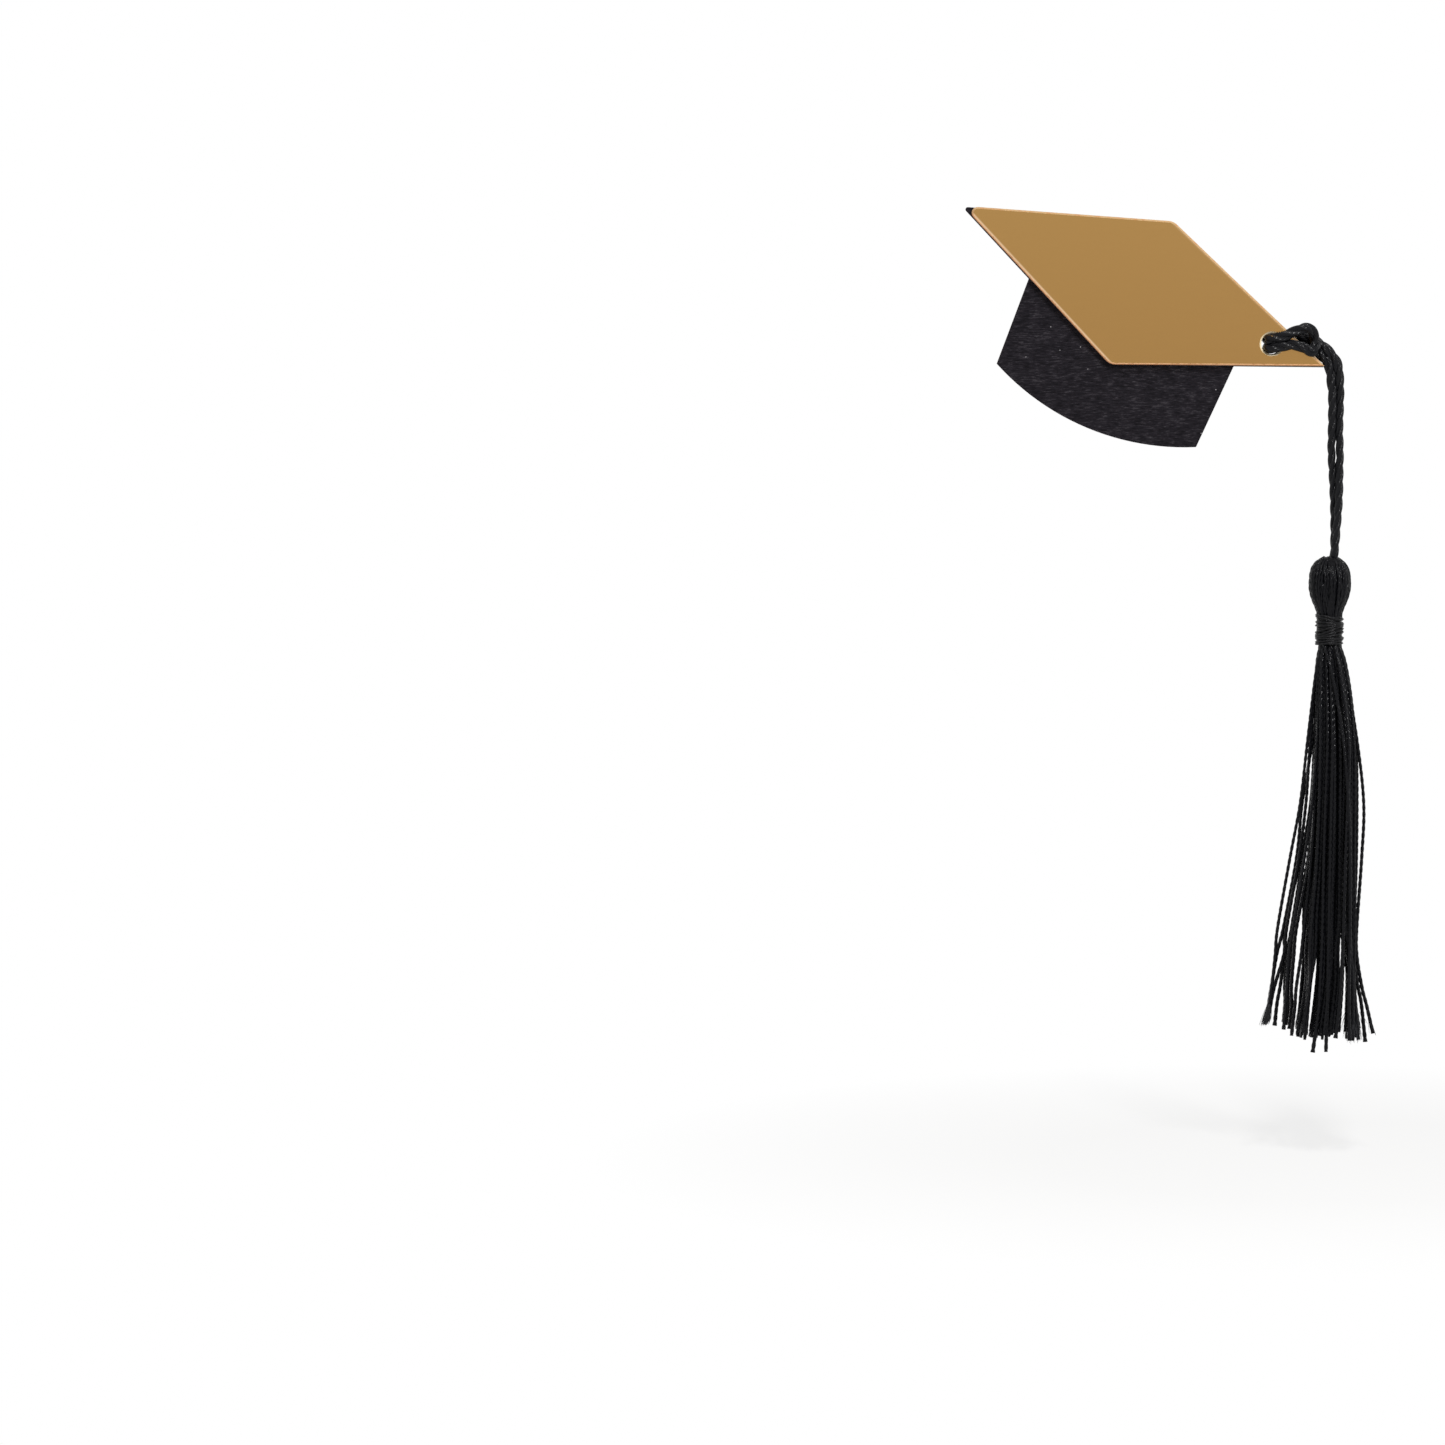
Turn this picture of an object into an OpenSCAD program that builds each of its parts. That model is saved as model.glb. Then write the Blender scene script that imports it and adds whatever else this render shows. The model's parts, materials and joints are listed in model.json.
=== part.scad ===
// Graduation cap ornament, laser cut in flat layers, with a silky tassel on a looped cord.
// A wooden panel gives the cap's outline, a mirror board lies on it, and the tassel's cord
// is hitched through a hole at the board's right tip, so the tassel swings beside the cap.
// +Z is up and the front faces -Y. The origin is the middle of the board's long diagonal,
// on the back of the panel. Sizes are in millimetres.

/* [Board] */
// Length of the board from tip to tip
board_length = 85.2; // [76:0.1:104]
// Height of the board above its long diagonal
board_back = 15.2; // [12:0.1:20]
// Height of the board below its long diagonal
board_front = 18.3; // [14:0.1:23]
// Thickness of the mirror board
board_thickness = 2; // [1:0.1:3]
// Rounding of the board's two wide corners
wide_corner_radius = 3; // [0.5:0.1:5]
// Rounding of the board's blunted left tip
left_tip_radius = 1.3; // [0.1:0.05:1.6]
// Rounding of the panel's left tip, which shows beyond the board's
panel_tip_radius = 0.5; // [0.1:0.05:1]
// Rounding of the right tip
tip_radius = 0.2; // [0.1:0.05:0.8]
// Distance by which the panel lies lower than the board, across the diagonal
panel_slip = 0.2; // [0:0.05:0.4]
// Slope of the whole cap, clockwise from the front
tilt = 23.8; // [16:0.1:30]

/* [Crown] */
// Width of the crown between its lower corners
crown_width = 46.4; // [38:0.1:57]
// Depth of the middle between those corners below the long diagonal
crown_depth = 27.5; // [23:0.1:34]
// Bulge of the curved hem below those corners
crown_sag = 5.2; // [2:0.1:8]
// Distance of the crown's middle from the board's, towards the right tip
crown_shift = 1.1; // [0:0.1:3]
// Turn of the crown against the board, anticlockwise from the front
crown_turn = 1.2; // [0:0.1:3]
// Outward lean of each straight side, towards the board
crown_flare = 2.1; // [0:0.1:5]
// Thickness of the wooden panel
panel_thickness = 3; // [2:0.1:5]

/* [Adhesive film] */
// Thickness of the film that holds the board on the panel
film_thickness = 0.15; // [0.05:0.05:0.3]

/* [Tassel hole] */
// Diameter of the hole through board and panel
hole_diameter = 4.6; // [4.4:0.1:6.4]
// Distance from the right tip to the hole's centre, along the diagonal
hole_inset = 12.6; // [12:0.1:15]
// Distance from the diagonal down to the hole's centre
hole_drop = 0.2; // [0:0.1:1]

/* [Cord] */
// Diameter of the cord
cord_diameter = 1.7; // [1.2:0.1:1.8]
// Clearance between the cord and the faces it lies on
cord_clearance = 0.15; // [0.05:0.05:0.3]
// Clearance at the places where the cord flexes
flex_clearance = 0.3; // [0.2:0.05:0.5]
// Drop from the hole to the top of the tassel's head
cord_drop = 45.8; // [45:0.1:56]

/* [Tassel] */
// Diameter of the head
head_diameter = 9; // [8:0.1:11]
// Height of the head
head_height = 12.3; // [10.5:0.1:15]
// Depth at which the head starts to draw in to the neck
head_belly = 8; // [6:0.1:9]
// Diameter of the knot inside the head
knot_diameter = 4.2; // [3.6:0.1:4.6]
// Diameter of the yarn bundle at the neck
neck_diameter = 5.1; // [4.2:0.1:6.2]
// Height of the neck
neck_height = 6.9; // [6.6:0.1:8.4]
// Thickness of the thread wound round the neck
thread_diameter = 0.42; // [0.3:0.01:0.5]
// Clearance between the thread and the yarn and head beside it
thread_clearance = 0.13; // [0.05:0.01:0.3]
// Turns of the thread
thread_turns = 7; // [4:1:7]
// Length of the longest strands below the neck
skirt_length = 87.5; // [70:0.5:110]
// Width of the skirt at its ends
skirt_width = 22; // [18:0.5:27]
// Lean of the skirt's ends to the left
skirt_lean = 2.6; // [0:0.1:5]
// Thickness of a strand at its end
strand_thickness = 0.95; // [0.6:0.05:1.1]
// Difference between the longest and the shortest strands
strand_scatter = 5.2; // [0:0.1:8]

/* [Hidden] */

// Steps in each rounded corner
arc_steps = 6;
// Overlap that carries a cut past a face
cut = 1;

stack = panel_thickness + film_thickness + board_thickness;
hole_u = board_length / 2 - hole_inset;
hole_x = hole_u * cos(tilt) - hole_drop * sin(tilt);
hole_z = -hole_u * sin(tilt) - hole_drop * cos(tilt);
hem_radius = (pow(crown_width / 2, 2) + pow(crown_sag, 2)) / (2 * crown_sag);

// Depths, along Y, of the cord's centre line
cord_radius = cord_diameter / 2;
back_lay = cord_radius + cord_clearance;
front_lay = -stack - cord_radius - cord_clearance;
mid_lay = -stack / 2;
bar_lay = mid_lay - cord_diameter - flex_clearance;

// Depth of a strand that comes round the board's edge: from the back, and from the front
function from_back(s) = back_lay + s * (mid_lay - back_lay);
function from_front(s) = front_lay + s * (bar_lay - front_lay);

// Flex points of the cord, from the hole's centre
leg_spread = cord_diameter + flex_clearance;
swing_point = [13.5, mid_lay, -5.4];
tilt_point = [13.6, mid_lay, cord_radius + flex_clearance - cord_drop];
knuckle_margin = 0.05;
knuckle_radius = leg_spread / 2 + cord_radius + knuckle_margin;

// Route of the hitch, from the hole's centre: the outer leg comes up from the swing point and
// goes behind the board, through the hole, round in front as the crossbar, through again and
// back behind the board to the inner leg.
hitch_route = [
    [14.8, mid_lay, -7.4], [14.45, mid_lay, -5.4], [13.9, mid_lay, -3.9],
    [13.0, mid_lay, -2.5], [11.9, mid_lay, -1.3], [10.6, from_back(0.95), -0.2],
    [9.2, from_back(0.8), 0.7], [7.8, from_back(0.5), 1.3], [6.4, from_back(0.12), 1.6],
    [5.0, back_lay, 1.6], [3.6, back_lay, 1.4], [2.2, back_lay, 1.25],
    [0.8, back_lay, 1.1], [-0.15, back_lay - 0.4, 1.0], [-0.5, back_lay - 1.6, 0.98],
    [-0.5, mid_lay, 0.98], [-0.5, front_lay + 1.6, 0.98], [-0.15, front_lay + 0.4, 1.1],
    [0.8, front_lay - 0.1, 1.4], [2.4, front_lay - 0.15, 1.95], [4.2, front_lay, 2.6],
    [6.0, front_lay, 3.2], [7.4, from_front(0.1), 3.5],
    [8.7, from_front(0.4), 3.0], [9.5, from_front(0.75), 1.9], [9.8, bar_lay, 0.6],
    [9.8, from_front(0.8), -0.6], [9.5, from_front(0.25), -1.6], [8.6, front_lay, -1.9],
    [7.3, front_lay, -1.2], [5.8, front_lay, -0.5], [4.2, front_lay, -0.3],
    [2.4, front_lay, -0.35], [0.8, front_lay, -0.65], [-0.15, front_lay + 0.4, -0.9],
    [-0.5, front_lay + 1.6, -0.98], [-0.5, mid_lay, -0.98], [-0.5, back_lay - 1.6, -0.98],
    [-0.15, back_lay - 0.4, -0.98], [0.8, back_lay, -0.95], [2.3, back_lay, -0.9],
    [3.8, back_lay, -0.7], [5.3, back_lay, -0.5],
    [6.8, back_lay, -0.4], [8.1, from_back(0.1), -0.45], [9.2, from_back(0.55), -0.8],
    [10.2, from_back(0.9), -1.9], [11.3, mid_lay, -3.1], [12.1, mid_lay, -4.2],
    [12.55, mid_lay, -5.4], [12.7, mid_lay, -7.4]
];
// The short stretch of both legs that tips sideways
outer_shoulder_route = [[14.45, mid_lay, -5.4], [14.8, mid_lay, -7.4], [15.2, mid_lay, -10.3]];
inner_shoulder_route = [[12.55, mid_lay, -5.4], [12.7, mid_lay, -7.4], [13.3, mid_lay, -10.3]];
// The hanging legs, which sway to front and back about their upper ends, and turn from side by
// side to one behind the other
outer_leg_route = [
    [15.3, mid_lay, -11.4], [15.3, mid_lay, -15], [15.2, mid_lay, -19], [15.1, mid_lay - 0.1, -23],
    [15.0, mid_lay - 0.3, -27], [14.8, mid_lay - 0.6, -31], [14.5, mid_lay - 0.8, -35],
    [14.1, mid_lay - 0.9, -39], [13.6, mid_lay - leg_spread / 2, tilt_point.z]
];
inner_leg_route = [
    [13.4, mid_lay, -11.4], [13.3, mid_lay, -15], [13.2, mid_lay, -19], [13.2, mid_lay + 0.1, -23],
    [13.3, mid_lay + 0.3, -27], [13.4, mid_lay + 0.6, -31], [13.5, mid_lay + 0.8, -35],
    [13.5, mid_lay + 0.9, -39], [13.6, mid_lay + leg_spread / 2, tilt_point.z]
];
cord_sides = 8;

// The tassel's own axis, at the top of its head, from the hole's centre
tassel_top = [12.9, mid_lay, -cord_drop];
neck_radius = neck_diameter / 2;
cavity_depth = 5.4;
cavity_clearance = 0.25;

// The wound thread
thread_sides = 6;
thread_steps = 24;
thread_radius = neck_radius + thread_clearance + thread_diameter / 2;
thread_rise = neck_height - thread_diameter - 2 * thread_clearance;
thread_pitch = thread_rise / thread_turns;

// The skirt's strands stand in rings round a middle one
strand_rings = 4;
strand_levels = [0, 0.1, 0.25, 0.45, 0.7, 1];
strand_root = 0.5;
root_thickness = 0.4;

function unit(v) = v / norm(v);
function mix(a, b, s) = a + s * (b - a);

// Arc that rounds the corner `at` of an outline
function corner_arc(before, at, after, radius) =
    let (a = unit(before - at), b = unit(after - at))
    let (half = acos(a * b) / 2, sweep = 180 - 2 * half)
    let (centre = at + unit(a + b) * radius / sin(half))
    let (from = at + a * radius / tan(half) - centre, to = at + b * radius / tan(half) - centre)
    [for (k = [0 : arc_steps])
        let (s = k / arc_steps)
        centre + (sin((1 - s) * sweep) * from + sin(s * sweep) * to) / sin(sweep)];

function rounded(points, radii) =
    let (n = len(points))
    [for (i = [0 : n - 1])
        each corner_arc(points[(i + n - 1) % n], points[i], points[(i + 1) % n], radii[i])];

// The board's four corners: left tip, back, right tip, front
board_corners = [
    [-board_length / 2, 0], [0, board_back], [board_length / 2, 0], [0, -board_front]
];
board_outline = rounded(
    board_corners, [left_tip_radius, wide_corner_radius, tip_radius, wide_corner_radius]);
panel_outline = rounded(
    [for (corner = board_corners) corner - [0, panel_slip]],
    [panel_tip_radius, wide_corner_radius, tip_radius, wide_corner_radius]);

// Direction of a route at one of its points
function tangent(p, i) =
    i == 0 ? unit(p[1] - p[0])
    : i == len(p) - 1 ? unit(p[i] - p[i - 1])
    : unit(unit(p[i + 1] - p[i]) + unit(p[i] - p[i - 1]));

// Rings along a route, each turned as little as possible from the one before
function rings(p, radii, sides, i, side, done) =
    i == len(p) ? done
    : let (t = tangent(p, i), n = unit(side - (side * t) * t), b = cross(t, n))
      let (ring = [for (k = [0 : sides - 1])
          p[i] + radii[i] * (cos(360 * k / sides) * n + sin(360 * k / sides) * b)])
      rings(p, radii, sides, i + 1, n, concat(done, ring));

// A tube swept along a route, with a radius for each ring
module sweep(route, radii, sides) {
    start = tangent(route, 0);
    side = abs(start.y) < 0.9 ? [0, 1, 0] : [1, 0, 0];
    last = len(route) - 1;
    end = last * sides;
    walls = [for (i = [0 : last - 1], k = [0 : sides - 1])
        let (a = i * sides + k, b = i * sides + (k + 1) % sides)
        each [[a, a + sides, b], [b, a + sides, b + sides]]];
    first_cap = [for (k = [1 : sides - 2]) [0, k, k + 1]];
    last_cap = [for (k = [1 : sides - 2]) [end, end + k + 1, end + k]];
    polyhedron(rings(route, radii, sides, 0, side, []), concat(first_cap, walls, last_cap));
}

module cord(route) {
    sweep(route, [for (p = route) cord_radius], cord_sides);
}

// A length of cord with both ends rounded about their end points
module round_ended_cord(route) {
    last = len(route) - 1;
    rounds = [75, 40];
    head = [for (a = rounds) route[0] - tangent(route, 0) * cord_radius * sin(a)];
    tail = [for (a = [40, 75]) route[last] + tangent(route, last) * cord_radius * sin(a)];
    ends = [for (a = rounds) cord_radius * cos(a)];
    sweep(
        concat(head, route, tail),
        concat(ends, [for (p = route) cord_radius], [ends[1], ends[0]]),
        cord_sides);
}

// From the cap's flat drawing to its place: drawn in X and Y, raised by `lift`, stood upright
module upright(lift) {
    rotate([90, 0, 0])
        rotate([0, 0, -tilt])
        translate([0, 0, lift])
        children();
}

module at_hole() {
    translate([hole_x, 0, hole_z]) children();
}

module tassel_hole(height) {
    translate([hole_u, -hole_drop, -cut])
        cylinder(d = hole_diameter, h = height + 2 * cut, $fn = 64);
}

// A sheet with the board's outline and its hole
module board_sheet(thickness) {
    difference() {
        linear_extrude(thickness) polygon(board_outline);
        tassel_hole(thickness);
    }
}

// Place of a point of the crown, given from the middle between its lower corners
function crown_point(x, y) = [
    crown_shift + x * cos(crown_turn) - y * sin(crown_turn),
    -crown_depth + x * sin(crown_turn) + y * cos(crown_turn)
];

// The crown: straight sides that lean outwards on their way up to the board, and a hem that is
// one wide arc
module crown() {
    lean = tan(crown_flare);
    below = crown_sag + cut;
    low_half = crown_width / 2 - below * lean;
    top_half = crown_width / 2 + crown_depth * lean;
    intersection() {
        linear_extrude(panel_thickness)
            polygon([
                crown_point(-low_half, -below), crown_point(low_half, -below),
                crown_point(top_half, crown_depth), crown_point(-top_half, crown_depth)
            ]);
        translate(crown_point(0, hem_radius - crown_sag))
            cylinder(r = hem_radius, h = panel_thickness, $fn = 180);
    }
}

module cap_panel() {
    color("#221f24")
    upright(0)
    difference() {
        union() {
            linear_extrude(panel_thickness) polygon(panel_outline);
            crown();
        }
        tassel_hole(panel_thickness);
    }
}

// The film is cut together with the board, so its outline is the board's
module adhesive_film() {
    color("#d8d2c4")
    upright(panel_thickness)
    board_sheet(film_thickness);
}

module mirror_board() {
    color("#ac864f")
    upright(panel_thickness + film_thickness)
    board_sheet(board_thickness);
}

// The hitch ends in a rounded knuckle at the swing point, on which the shoulder turns
module hitch_cord() {
    below = 4 * cord_diameter;
    color("#0c0c0e")
    at_hole()
    difference() {
        cord(hitch_route);
        difference() {
            translate(swing_point - [below, below, below]) cube([2 * below, 2 * below, below]);
            translate(swing_point) sphere(knuckle_radius, $fn = 48);
        }
    }
}

module cord_shoulder() {
    color("#141417")
    at_hole()
    difference() {
        union() {
            cord(outer_shoulder_route);
            cord(inner_shoulder_route);
        }
        translate(swing_point) sphere(knuckle_radius + flex_clearance, $fn = 48);
    }
}

module inner_leg() {
    color("#0c0c0e") at_hole() round_ended_cord(inner_leg_route);
}

module outer_leg() {
    color("#101013") at_hole() round_ended_cord(outer_leg_route);
}

// The cord's two ends, knotted together where the yarn is folded over them
module cord_knot() {
    color("#141417")
    at_hole()
    union() {
        translate(tassel_top - [0, 0, cavity_depth])
            sphere(d = knot_diameter, $fn = 48);
        for (side = [-1, 1])
            translate([tilt_point.x, mid_lay + side * leg_spread / 2, tassel_top.z - cavity_depth])
                cylinder(r = cord_radius, h = cavity_depth - cord_clearance, $fn = 32);
    }
}

// Half of the head's outline: a dome, a straight belly, and a round tuck in to the neck
head_radius = head_diameter / 2;
tuck_radius = neck_radius + thread_diameter;
head_outline = [
    for (a = [90 : -10 : 0]) head_radius * [cos(a), sin(a) - 1],
    for (a = [0 : 15 : 90])
        [mix(tuck_radius, head_radius, cos(a)), mix(-head_belly, -head_height, sin(a))]
];

module tassel_head() {
    color("#0e0e10")
    at_hole()
    difference() {
        translate(tassel_top)
            rotate_extrude($fn = 64)
            polygon(concat(head_outline, [[0, -head_height]]));
        translate(tassel_top - [0, 0, cavity_depth])
            sphere(d = knot_diameter + 2 * cavity_clearance, $fn = 48);
        translate([tilt_point.x, mid_lay, tassel_top.z - cavity_depth])
            cylinder(r = knuckle_radius + cavity_clearance, h = cavity_depth + cut, $fn = 48);
    }
}

// Points of the wound thread, from the top down, with a straight length at each end
function thread_point(turn) =
    [thread_radius * cos(360 * turn), thread_radius * sin(360 * turn), -thread_pitch * turn];
function thread_way(turn) = unit([-sin(360 * turn), cos(360 * turn), 0]);
thread_loops = [for (k = [0 : thread_turns * thread_steps]) thread_point(k / thread_steps)];
thread_route = concat(
    [thread_loops[0] - thread_diameter * thread_way(0)],
    thread_loops,
    [thread_loops[len(thread_loops) - 1] + thread_diameter * thread_way(thread_turns)]);
// Least gap between one turn of the thread and the next
thread_gap = min([for (i = [0 : len(thread_loops) - 1 - thread_steps], k = [-2 : 2])
    let (j = min(i + thread_steps + k, len(thread_loops) - 1))
    norm(thread_loops[i] - thread_loops[j])]) - thread_diameter;

module neck_wrap() {
    echo(neck_wrap_least_gap = thread_gap);
    color("#17171a")
    at_hole()
    translate(tassel_top - [0, 0, head_height + thread_clearance + thread_diameter / 2])
        sweep(thread_route, [for (p = thread_route) thread_diameter / 2], thread_sides);
}

// Places of the strands across the skirt, in rings, as shares of its half width
strand_places = [
    [0, 0],
    for (ring = [1 : strand_rings], k = [0 : 6 * ring - 1])
        let (turn = 60 * k / ring + 20 * ring)
        ring / strand_rings * [cos(turn), sin(turn)]
];
// A steady scatter between 0 and 1
function scatter(i) = abs(sin(i * 137.5 + 40));

function strand_point(place, s, length) =
    let (drop = s * length, share = drop / skirt_length)
    let (spread = mix(neck_radius - root_thickness, (skirt_width - strand_thickness) / 2,
        pow(share, 0.75)))
    [place.x * spread - skirt_lean * pow(share, 1.5), place.y * spread, -drop];

module strand(i) {
    length = skirt_length - strand_scatter * scatter(i);
    place = strand_places[i];
    route = concat(
        [strand_point(place, 0, length) + [0, 0, strand_root]],
        [for (s = strand_levels) if (s > 0) strand_point(place, s, length)]);
    radii = [for (s = strand_levels) mix(root_thickness, strand_thickness, pow(s, 0.6)) / sqrt(2)];
    sweep(route, radii, 4);
}

// The yarn: one bundle through the neck, hanging below it in separate strands
module tassel_skirt() {
    color("#0c0c0e")
    at_hole()
    translate(tassel_top - [0, 0, head_height + neck_height])
    union() {
        cylinder(r = neck_radius, h = neck_height, $fn = 48);
        for (i = [0 : len(strand_places) - 1]) strand(i);
    }
}

cap_panel();
adhesive_film();
mirror_board();
hitch_cord();
cord_shoulder();
inner_leg();
outer_leg();
cord_knot();
tassel_head();
neck_wrap();
tassel_skirt();
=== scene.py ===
# %% [markdown]
# A small graduation cap, cut flat like an ornament: a black plywood shape, a gold mirror board
# stuck on its face, and a silky black tassel tied through a hole at the board's right corner.
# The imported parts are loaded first. They stay where they are, and every later piece is built
# around them, in the same frame: +Z is up and the gold face looks towards -Y.

# %% Load the frame
import json
import math

import bmesh
import bpy
import numpy as np
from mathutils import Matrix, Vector


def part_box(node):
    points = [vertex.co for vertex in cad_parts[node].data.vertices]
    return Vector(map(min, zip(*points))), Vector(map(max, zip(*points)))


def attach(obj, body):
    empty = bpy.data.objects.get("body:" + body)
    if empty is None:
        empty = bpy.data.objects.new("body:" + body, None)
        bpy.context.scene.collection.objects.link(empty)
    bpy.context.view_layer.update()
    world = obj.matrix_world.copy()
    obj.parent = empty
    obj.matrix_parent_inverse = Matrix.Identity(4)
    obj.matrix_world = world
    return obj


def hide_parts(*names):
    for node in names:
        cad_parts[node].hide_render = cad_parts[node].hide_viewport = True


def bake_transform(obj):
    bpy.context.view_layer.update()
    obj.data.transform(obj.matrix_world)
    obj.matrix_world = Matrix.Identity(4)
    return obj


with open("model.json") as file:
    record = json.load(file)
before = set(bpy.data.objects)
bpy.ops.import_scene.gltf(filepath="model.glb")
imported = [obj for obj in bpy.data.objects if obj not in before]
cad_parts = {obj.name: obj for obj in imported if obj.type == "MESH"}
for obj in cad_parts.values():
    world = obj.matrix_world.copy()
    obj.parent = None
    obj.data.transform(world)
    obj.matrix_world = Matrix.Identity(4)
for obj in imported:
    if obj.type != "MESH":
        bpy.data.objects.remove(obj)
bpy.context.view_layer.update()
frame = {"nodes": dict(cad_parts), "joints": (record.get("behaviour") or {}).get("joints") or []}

MM = 0.001
pivots = {joint["name"]: np.array(joint["pos_m"]) / MM for joint in frame["joints"]}


def box_mm(node):
    """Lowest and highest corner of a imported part, in millimetres."""
    return [np.array(corner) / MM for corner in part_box(node)]


print("parts:", ", ".join(sorted(frame["nodes"])))
print("pivots in mm:", {name: place.round(2).tolist() for name, place in pivots.items()})

# %% [markdown]
# The camera comes first, so that every later choice can be held against the picture. It stands
# about 1.4 m away, a little to the left of the cap and a little above it, which is why the thin left
# edges of the board can just be seen. A wide lens close by would splay the board's corners, so a long
# one is used, worked out from one measured scale instead of being guessed.

# %% Camera
PHOTO_SIDE = 1445  # pixels along each side of the picture
PHOTO_SCALE = 4.65  # pixels per millimetre at the board
SENSOR_WIDTH = 36.0
EYE = np.array([-62.4, -1402.5, 16.0])  # where the camera stands, mm
AIM = np.array([-90.5, -2.5, -94.1])  # what the middle of the picture looks at, mm


def add_object(name, data):
    """A new object that holds the data, linked into the scene."""
    thing = bpy.data.objects.new(name, data)
    bpy.context.scene.collection.objects.link(thing)
    return thing


sight = AIM - EYE
board_depth = np.dot(-EYE, sight / np.linalg.norm(sight))
camera_data = bpy.data.cameras.new("photo_camera")
camera_data.sensor_width = SENSOR_WIDTH
camera_data.lens = SENSOR_WIDTH * PHOTO_SCALE * board_depth / PHOTO_SIDE
camera = add_object("photo_camera", camera_data)
camera.location = Vector(EYE * MM)
camera.rotation_euler = Vector(sight).to_track_quat("-Z", "Y").to_euler()
bpy.context.scene.camera = camera
print(f"camera: lens {camera_data.lens:.1f} mm, {board_depth:.0f} mm from the board")

# %% [markdown]
# The tassel hangs on one loop of twisted cord. The loop is pushed through the hole from the front,
# and the tassel's two legs are drawn through it, which is a lark's head hitch. It could be modelled
# as a bent tube for each visible strand, but the strands would then not meet behind the board.
# One continuous route is kept instead, from one leg up through the hitch and down the other leg.
# Its points are given one by one and are measured from the middle of the hole.

# %% The cord's route
CORD = 1.7  # cord's diameter where it hangs, mm
LOOSE_CORD = 2.25  # its diameter in the hitch, where nothing stretches it
CROSSING_CLEARANCE = 0.3  # room where one strand passes over another
SWING_FROM_HOLE = np.array([13.5, 0.0, -5.4])  # from the hole's middle to the sideways pivot

hole = pivots["swing_side"] - SWING_FROM_HOLE
mid = hole[1]  # halfway through the board's stack
back = LOOSE_CORD / 2  # a strand that lies on the back face
board_front = box_mm("mirror_board")[0][1]  # depth of the gold face
front = board_front - back  # a strand that lies on the gold face
bar = mid - CORD - CROSSING_CLEARANCE  # the loop's end, which crosses over the legs


def from_back(share):
    """Depth of a strand on its way from the back face to the middle."""
    return back + share * (mid - back)


def from_front(share):
    """Depth of a strand on its way from the gold face to the loop's end."""
    return front + share * (bar - front)


outer_leg = [
    [14.8, mid + 0.2, -10.3], [14.8, mid + 0.3, -11.4], [14.75, mid + 0.3, -15],
    [14.7, mid + 0.15, -19], [14.85, mid - 0.1, -23], [14.8, mid - 0.3, -27], [14.75, mid - 0.6, -31],
    [14.6, mid - 0.8, -35], [14.3, mid - 0.9, -39], [13.85, mid - 1.0, -44.65],
    [13.5, mid - 0.7, -46.8],
]
hitch = [
    [14.6, mid + 0.1, -7.4], [14.35, mid, -5.4], [13.9, mid, -3.9], [13.0, mid, -2.5],
    [11.9, mid, -1.3], [10.6, from_back(0.95), -0.2], [9.2, from_back(0.8), 0.7],
    [7.8, from_back(0.5), 1.3], [6.4, from_back(0.12), 1.6], [5.0, back, 1.6],
    [3.6, back, 1.4], [2.2, back, 1.25], [0.8, back, 1.1], [-0.3, back - 0.4, 1.0],
    [-0.75, back - 1.6, 0.95], [-0.75, mid, 0.95], [-0.75, front + 1.6, 0.95],
    [-0.7, front + 0.5, 0.97], [0.25, front - 0.15, 1.1], [2.2, front - 0.15, 1.55],
    [4.2, front, 2.4], [6.0, front, 3.15], [7.2, from_front(0.1), 3.4], [8.3, from_front(0.4), 2.9],
    [9.0, from_front(0.75), 1.8], [9.25, bar, 0.6], [9.25, from_front(0.8), -0.5],
    [8.95, from_front(0.25), -1.35], [8.2, front, -1.6], [7.1, front, -1.05],
    [5.8, front, -0.45], [4.2, front, -0.25], [2.2, front, -0.45], [0.25, front - 0.1, -0.85],
    [-0.7, front + 0.5, -0.95], [-0.75, front + 1.6, -0.97], [-0.75, mid, -0.97],
    [-0.75, back - 1.6, -0.97], [-0.3, back - 0.4, -0.97], [0.8, back, -0.95],
    [2.3, back, -0.9], [3.8, back, -0.7], [5.3, back, -0.5], [6.8, back, -0.4],
    [8.1, from_back(0.1), -0.45], [9.2, from_back(0.55), -0.8],
    [10.2, from_back(0.9), -1.9], [11.3, mid, -3.1], [12.1, mid, -4.2],
    [12.6, mid, -5.4], [12.85, mid - 0.1, -7.4],
]
inner_leg = [
    [13.1, mid - 0.2, -10.3], [13.15, mid - 0.3, -11.4], [13.15, mid - 0.3, -15],
    [13.1, mid - 0.15, -19], [13.05, mid + 0.1, -23], [13.3, mid + 0.3, -27], [13.55, mid + 0.6, -31],
    [13.75, mid + 0.8, -35], [13.85, mid + 0.9, -39], [13.85, mid + 1.0, -44.65],
    [13.5, mid + 0.7, -46.8],
]
hole_place = np.array([hole[0], 0.0, hole[2]])
cord_points = np.array(outer_leg[::-1] + hitch + inner_leg) + hole_place
print(f"cord route: {len(cord_points)} points, hole at x {hole[0]:.2f}, z {hole[2]:.2f} mm")

# %% [markdown]
# A twisted cord is three plies that wind round each other. A bump texture on a smooth tube would
# give the stripes, but not the knobbly outline, so each ply is a real tube on a helix round the
# route. Two helpers do it: one draws a smooth line through the points, the other carries a steady
# pair of side directions along the line, so that the helix has something to turn against.

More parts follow.
